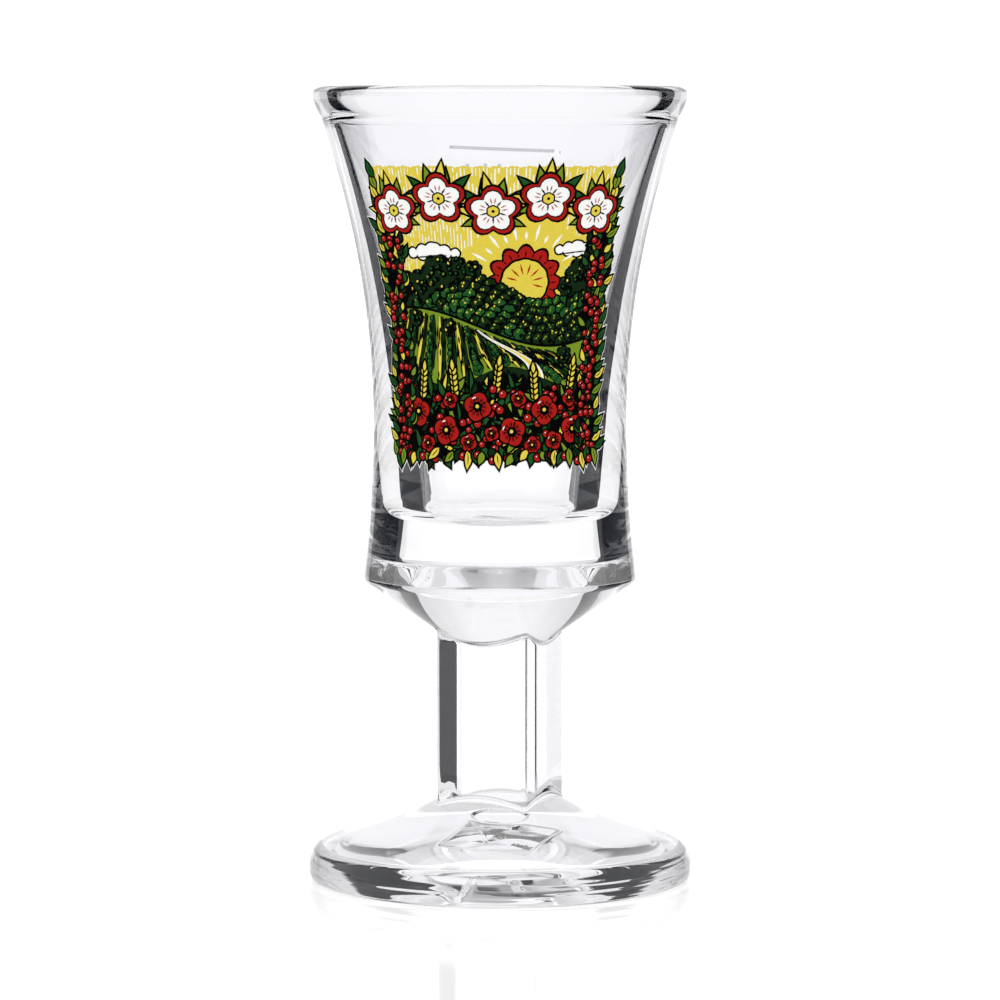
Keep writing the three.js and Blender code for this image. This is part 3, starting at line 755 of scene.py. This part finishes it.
def skin_mesh(name, flat, triangles, low, high):
    """A closed skin on the wall from triangles of (u, v) points: its face, its back and its edges."""
    used, front = np.unique(triangles, return_inverse=True)
    count, front = len(used), [tuple(t) for t in front.reshape(-1, 3).tolist()]
    edges = {(t[k], t[(k + 1) % 3]) for t in front for k in range(3)}
    back = [(t[2] + count, t[1] + count, t[0] + count) for t in front]
    rims = [(b, a, a + count, b + count) for a, b in edges if (b, a) not in edges]
    u, v = flat[used, 0], flat[used, 1]
    points = np.vstack([on_wall(u, v, high), on_wall(u, v, low)])
    piece = mesh_piece(name, points, front + back + rims)
    piece.data.set_sharp_from_angle(angle=SHARP_ANGLE)
    return piece


# Fired enamel is pigment in a low-melting glass, screen-printed and melted on. The eye gets a flat opaque
# colour with little shine. Its faint mottling is 0.4 mm wide, coarser than real, so that it shows.
MOTTLE_SIZE, MOTTLE_SHADES, MOTTLE_RELIEF = 0.4, (0.9, 1.08), 0.02


def fired_enamel(name, colour, cover=1.0):
    material, tree = new_material(name)
    place = add(tree, "ShaderNodeTexCoord")
    mottle = add(tree, "ShaderNodeTexNoise", {"Scale": 1 / (MOTTLE_SIZE * MM), "Detail": 3.0},
                 {"Vector": place.outputs["Object"]})
    darkest, lightest = MOTTLE_SHADES
    shade = add(tree, "ShaderNodeMapRange", {"To Min": darkest, "To Max": lightest},
                {"Value": mottle.outputs["Fac"]})
    tint = add(tree, "ShaderNodeVectorMath", {"operation": "SCALE", 0: linear(colour)[:3]},
               {"Scale": shade.outputs[0]})
    relief = add(tree, "ShaderNodeBump", {"Strength": 0.15, "Distance": MOTTLE_RELIEF * MM},
                 {"Height": mottle.outputs["Fac"]})
    body = add(tree, "ShaderNodeBsdfPrincipled",
               {"Roughness": 0.35, "Specular IOR Level": 0.02, "Alpha": cover},
               {"Base Color": tint.outputs[0], "Normal": relief.outputs["Normal"]})
    add(tree, "ShaderNodeOutputMaterial", {}, {"Surface": body.outputs["BSDF"]})
    return material


white_enamel = fired_enamel("fired_white_enamel", "F2F2EF")
yellow_enamel = fired_enamel("fired_yellow_enamel", "DAC648")
red_enamel = fired_enamel("fired_red_enamel", "A21B15")
light_green_enamel = fired_enamel("fired_light_green_enamel", "728C24")
mid_green_enamel = fired_enamel("fired_mid_green_enamel", "1D4F22")
dark_green_enamel = fired_enamel("fired_dark_green_enamel", "112611")
black_enamel = fired_enamel("fired_black_enamel", "020202")
INKS = {
    "yellow_sky": (yellow_enamel, "yellow_enamel", ["print_yellow_sky"]),
    "sun": (red_enamel, "red_enamel", ["print_sun"]),
    "sun_core": (yellow_enamel, "yellow_enamel", []),
    "far_hills": (mid_green_enamel, "mid_green_enamel", ["print_far_hills"]),
    "near_hill": (light_green_enamel, "light_green_enamel", ["print_near_hill"]),
    "meadow": (dark_green_enamel, "dark_green_enamel", ["print_meadow"]),
    "poppies": (red_enamel, "red_enamel", [f"print_poppy_{k}" for k in range(1, 7)]),
    "blossom_edges": (red_enamel, "red_enamel", [f"print_blossom_edge_{k}" for k in range(1, 6)]),
    "black_lines": (black_enamel, "black_enamel", ["print_black_lines"]),
}
flat, triangles, owner = cut_again(*paint_over(["white_ground", *INKS]))
ground, ground_triangles, in_ground = cut_again(flat, triangles, np.minimum(owner, 0))
white_ground = skin_mesh("white_ground", ground, ground_triangles[in_ground == 0], -SINK, SKIN)
white_ground.data.materials.append(white_enamel)
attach(white_ground, "root")
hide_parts("print_white_ground", *[f"print_blossom_{k}" for k in range(1, 6)])
for number, (name, (material, slot_name, nodes)) in enumerate(INKS.items(), 1):
    ink = skin_mesh(name, flat, triangles[owner == number], SKIN - INK_SINK, 2 * SKIN)
    ink.data.materials.append(material)
    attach(ink, "root")
    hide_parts(*nodes)

# The fill line at 2 cl and three plain ticks under it: grey enamel on the back of the cup,
# printed straight on the glass and thin enough to let light in.
FILL_HEIGHT, FILL_LENGTH, FILL_WIDTH, FILL_TILT = 83.38, 13.5, 0.42, math.radians(2.2)
FILL_SHIFT, FILL_RADIUS = 0.3, 19.0
TICKS, TICK_WIDTH, TICK_DROP = ((4.3, 0.9), (1.9, 1.0), (0.1, 0.9)), 0.44, 2.3


def fill_marks():
    """The line and its ticks as strips: points along the middle, counted to the left, and a height."""
    level = FILL_HEIGHT - PICTURE_BOTTOM
    along = np.linspace(-FILL_LENGTH / 2 - FILL_SHIFT, FILL_LENGTH / 2 - FILL_SHIFT, 25)
    strips = [(along, level + along * math.tan(FILL_TILT), FILL_WIDTH)]
    for place, height in TICKS:
        across = np.linspace(place - TICK_WIDTH / 2, place + TICK_WIDTH / 2, 3)
        strips.append((across, np.full(3, level - TICK_DROP), height))
    return strips


points, faces = [], []
for u, v, tall in fill_marks():
    first, count = len(points), len(u)
    for edge, lift in ((-0.5, -SINK), (-0.5, SKIN), (0.5, SKIN), (0.5, -SINK)):
        wrapped = (u / FILL_RADIUS + math.pi - PICTURE_TURN) * PICTURE_RADIUS
        points.extend(on_wall(wrapped, v + edge * tall, lift))
    for k in range(count - 1):
        for row in range(4):
            a, b = first + row * count + k, first + (row + 1) % 4 * count + k
            faces.append((a, a + 1, b + 1, b))
    faces.append([first + row * count for row in range(4)])
    faces.append([first + (3 - row) * count + count - 1 for row in range(4)])
fill_line = mesh_piece("fill_line_and_ticks", np.array(points), faces, smooth=False)
grey_enamel = fired_enamel("fired_grey_enamel", "B9BBBD", cover=0.3)
fill_line.data.materials.append(grey_enamel)
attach(fill_line, "root")
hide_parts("fill_line")

# Studio: a table of white acrylic lit from below, in a lit tent, with black flags beside the glass.
# The flags draw the dark lines along its edges; tent and flags turn with the camera.
TABLE_REACH, TABLE_GAP, TABLE_GLOW = 3000, 0.05, 0.6
corners = [(TABLE_REACH * x, TABLE_REACH * y, 0) for x, y in ((-1, -1), (1, -1), (1, 1), (-1, 1))]
floor = mesh_piece("floor", corners, [(0, 1, 2, 3)], smooth=False)
floor.location.z = -TABLE_GAP * MM
white_table, tree = new_material("lit_white_acrylic_table")
body = add(tree, "ShaderNodeBsdfPrincipled", {
    "Base Color": linear("8F8F8F"), "Roughness": 0.08, "Specular IOR Level": 0.3,
    "Emission Color": linear("FFFFFF"), "Emission Strength": TABLE_GLOW,
})
add(tree, "ShaderNodeOutputMaterial", {}, {"Surface": body.outputs["BSDF"]})
floor.data.materials.append(white_table)

# The tent's own brightness, by the direction in which it is seen from the glass: azimuth is the angle from
# straight behind the glass to either side, and rise is the angle up from the table.
LIT_CLOTH, BLACK_CLOTH = linear("FCFCFF"), linear("12151E")
tent_cloth, tree = new_material("lit_tent_and_black_flags")
place = add(tree, "ShaderNodeTexCoord")
ray = add(tree, "ShaderNodeVectorMath", {"operation": "NORMALIZE"}, {0: place.outputs["Object"]})
axes = add(tree, "ShaderNodeSeparateXYZ", {}, {0: ray.outputs[0]})
side = add(tree, "ShaderNodeMath", {"operation": "ABSOLUTE"}, {0: axes.outputs["X"]})
azimuth = add(tree, "ShaderNodeMath", {"operation": "ARCTAN2"}, {0: side.outputs[0], 1: axes.outputs["Y"]})
rise = add(tree, "ShaderNodeMath", {"operation": "ARCSINE"}, {0: axes.outputs["Z"]})


def step_up(value, start, end, low=0.0, high=1.0):
    """A smooth step of a direction's angle, from one number of degrees to another."""
    return add(tree, "ShaderNodeMapRange", {
        "interpolation_type": "SMOOTHSTEP", "From Min": math.radians(start), "From Max": math.radians(end),
        "To Min": low, "To Max": high,
    }, {"Value": value.outputs[0]})


def step_down(value, start, end, high=1.0):
    return step_up(value, start, end, high, 0.0)


def combine(a, b, operation="MULTIPLY"):
    return add(tree, "ShaderNodeMath", {"operation": operation}, {0: a.outputs[0], 1: b.outputs[0]})


# Each flag is 60 degrees tall up to an azimuth of 53 degrees, and from there on it is 10 degrees tall
FLAG_START, FLAG_END, TALL_PART, LOW_PART = 33.6, 80.0, (55, 65), (8, 12)
flag = combine(step_up(azimuth, FLAG_START - 0.5, FLAG_START + 0.5),
               step_down(azimuth, FLAG_END - 1, FLAG_END + 1))
tall = combine(step_down(rise, *TALL_PART), step_down(azimuth, 50, 56))
flag = combine(flag, combine(tall, step_down(rise, *LOW_PART), "MAXIMUM"))
# High up behind the glass the tent is about half as bright
CANOPY_START, CANOPY_END, CANOPY_DARKNESS = (38, 42), (72, 80), 0.45
canopy = combine(step_up(rise, *CANOPY_START), step_down(rise, *CANOPY_END))
canopy = combine(canopy, step_down(azimuth, 60, 70, CANOPY_DARKNESS))
dark = combine(flag, canopy, "MAXIMUM")
# It fades to the sides, but not below the table's level, and is at its brightest again in front of the glass
SIDE_BRIGHTNESS = 0.72
fading = combine(step_up(azimuth, 8, 34, 1.0, SIDE_BRIGHTNESS), step_up(rise, -1, -3.5), "MAXIMUM")
brightness = combine(fading, step_up(azimuth, 95, 130), "MAXIMUM")
cloths = add(tree, "ShaderNodeMix", {"data_type": "RGBA", 6: LIT_CLOTH, 7: BLACK_CLOTH},
             {0: dark.outputs[0]})
glow = add(tree, "ShaderNodeEmission", {}, {"Color": cloths.outputs[2], "Strength": brightness.outputs[0]})
add(tree, "ShaderNodeOutputMaterial", {}, {"Surface": glow.outputs["Emission"]})


def hide_but_in_glass(thing):
    """The thing shows only in gloss and through glass, and turns with the camera."""
    thing.parent = camera
    thing.matrix_parent_inverse = camera.matrix_world.inverted()
    thing.visible_camera = thing.visible_diffuse = thing.visible_shadow = False


TENT_RADIUS, TENT_COLUMNS, TENT_ROWS = 600, 96, 48
rises = np.linspace(-math.pi / 2, math.pi / 2, TENT_ROWS + 1)[1:-1]
turns = np.linspace(0, 2 * math.pi, TENT_COLUMNS, endpoint=False)
directions = [(math.cos(e) * math.sin(a), math.cos(e) * math.cos(a), math.sin(e))
              for e in rises for a in turns]
directions += [(0, 0, -1), (0, 0, 1)]
bottom, top, last = len(directions) - 2, len(directions) - 1, (len(rises) - 1) * TENT_COLUMNS
faces = []
for j in range(TENT_COLUMNS):
    beside = (j + 1) % TENT_COLUMNS
    faces.append((bottom, beside, j))
    faces.append((top, last + j, last + beside))
    for ring in range(0, last, TENT_COLUMNS):
        over = ring + TENT_COLUMNS
        faces.append((ring + j, ring + beside, over + beside, over + j))
tent = mesh_piece("tent", TENT_RADIUS * np.array(directions), faces)
tent.data.materials.append(tent_cloth)
hide_but_in_glass(tent)

# A black cloth lies on the table under each flag, and a second one rises away from the camera. A higher
# camera tips both down, and then the second one is still above the table. The table's gloss shows neither:
# the first is clear from below, and the second is hidden from all gloss.
black_cloth, tree = new_material("black_flag_cloth")
face = add(tree, "ShaderNodeNewGeometry")
glow = add(tree, "ShaderNodeEmission", {"Color": BLACK_CLOTH, "Strength": 1.0})
clear = add(tree, "ShaderNodeBsdfTransparent")
sided = add(tree, "ShaderNodeMixShader", {}, {
    0: face.outputs["Backfacing"], 1: glow.outputs["Emission"], 2: clear.outputs["BSDF"]})
add(tree, "ShaderNodeOutputMaterial", {}, {"Surface": sided.outputs["Shader"]})
CLOTH_NEAR, CLOTH_FAR, CLOTH_GAP = 48, 620, 0.3
RAISED_START, RAISED_SLOPE = 30, math.tan(math.radians(20))
near_side, far_side = (1 / math.tan(math.radians(angle)) for angle in (FLAG_END, FLAG_START))
for name, slope, start in (("table_cloth", 0.0, 0), ("raised_cloth", RAISED_SLOPE, RAISED_START)):
    for sign in (-1, 1):
        corners = [(CLOTH_NEAR, CLOTH_NEAR * near_side), (CLOTH_FAR, CLOTH_FAR * near_side),
                   (CLOTH_FAR, CLOTH_FAR * far_side), (CLOTH_NEAR, CLOTH_NEAR * far_side)]
        cloth = mesh_piece(f"{name}_{'right' if sign > 0 else 'left'}",
                           [(sign * x, y, CLOTH_GAP + slope * (y - start)) for x, y in corners],
                           [(0, 1, 2, 3)[::sign]], smooth=False)
        cloth.data.materials.append(black_cloth)
        cloth.visible_glossy = slope == 0
        hide_but_in_glass(cloth)

# Beside the glass the camera sees plain white surroundings and not the tent. Light crosses many faces
# of the glass before it leaves, so its paths are followed further than usual.
SURROUNDINGS_GLOW, GLASS_BOUNCES, GLOSS_BOUNCES = 1.3, 24, 16
world = bpy.data.worlds.new("white_surroundings")
world.use_nodes = True
world.node_tree.nodes["Background"].inputs["Color"].default_value = linear("FFFFFF")
world.node_tree.nodes["Background"].inputs["Strength"].default_value = SURROUNDINGS_GLOW
bpy.context.scene.world = world
bpy.context.scene.cycles.max_bounces = GLASS_BOUNCES
bpy.context.scene.cycles.transmission_bounces = GLASS_BOUNCES
bpy.context.scene.cycles.glossy_bounces = GLOSS_BOUNCES

bpy.context.view_layer.update()
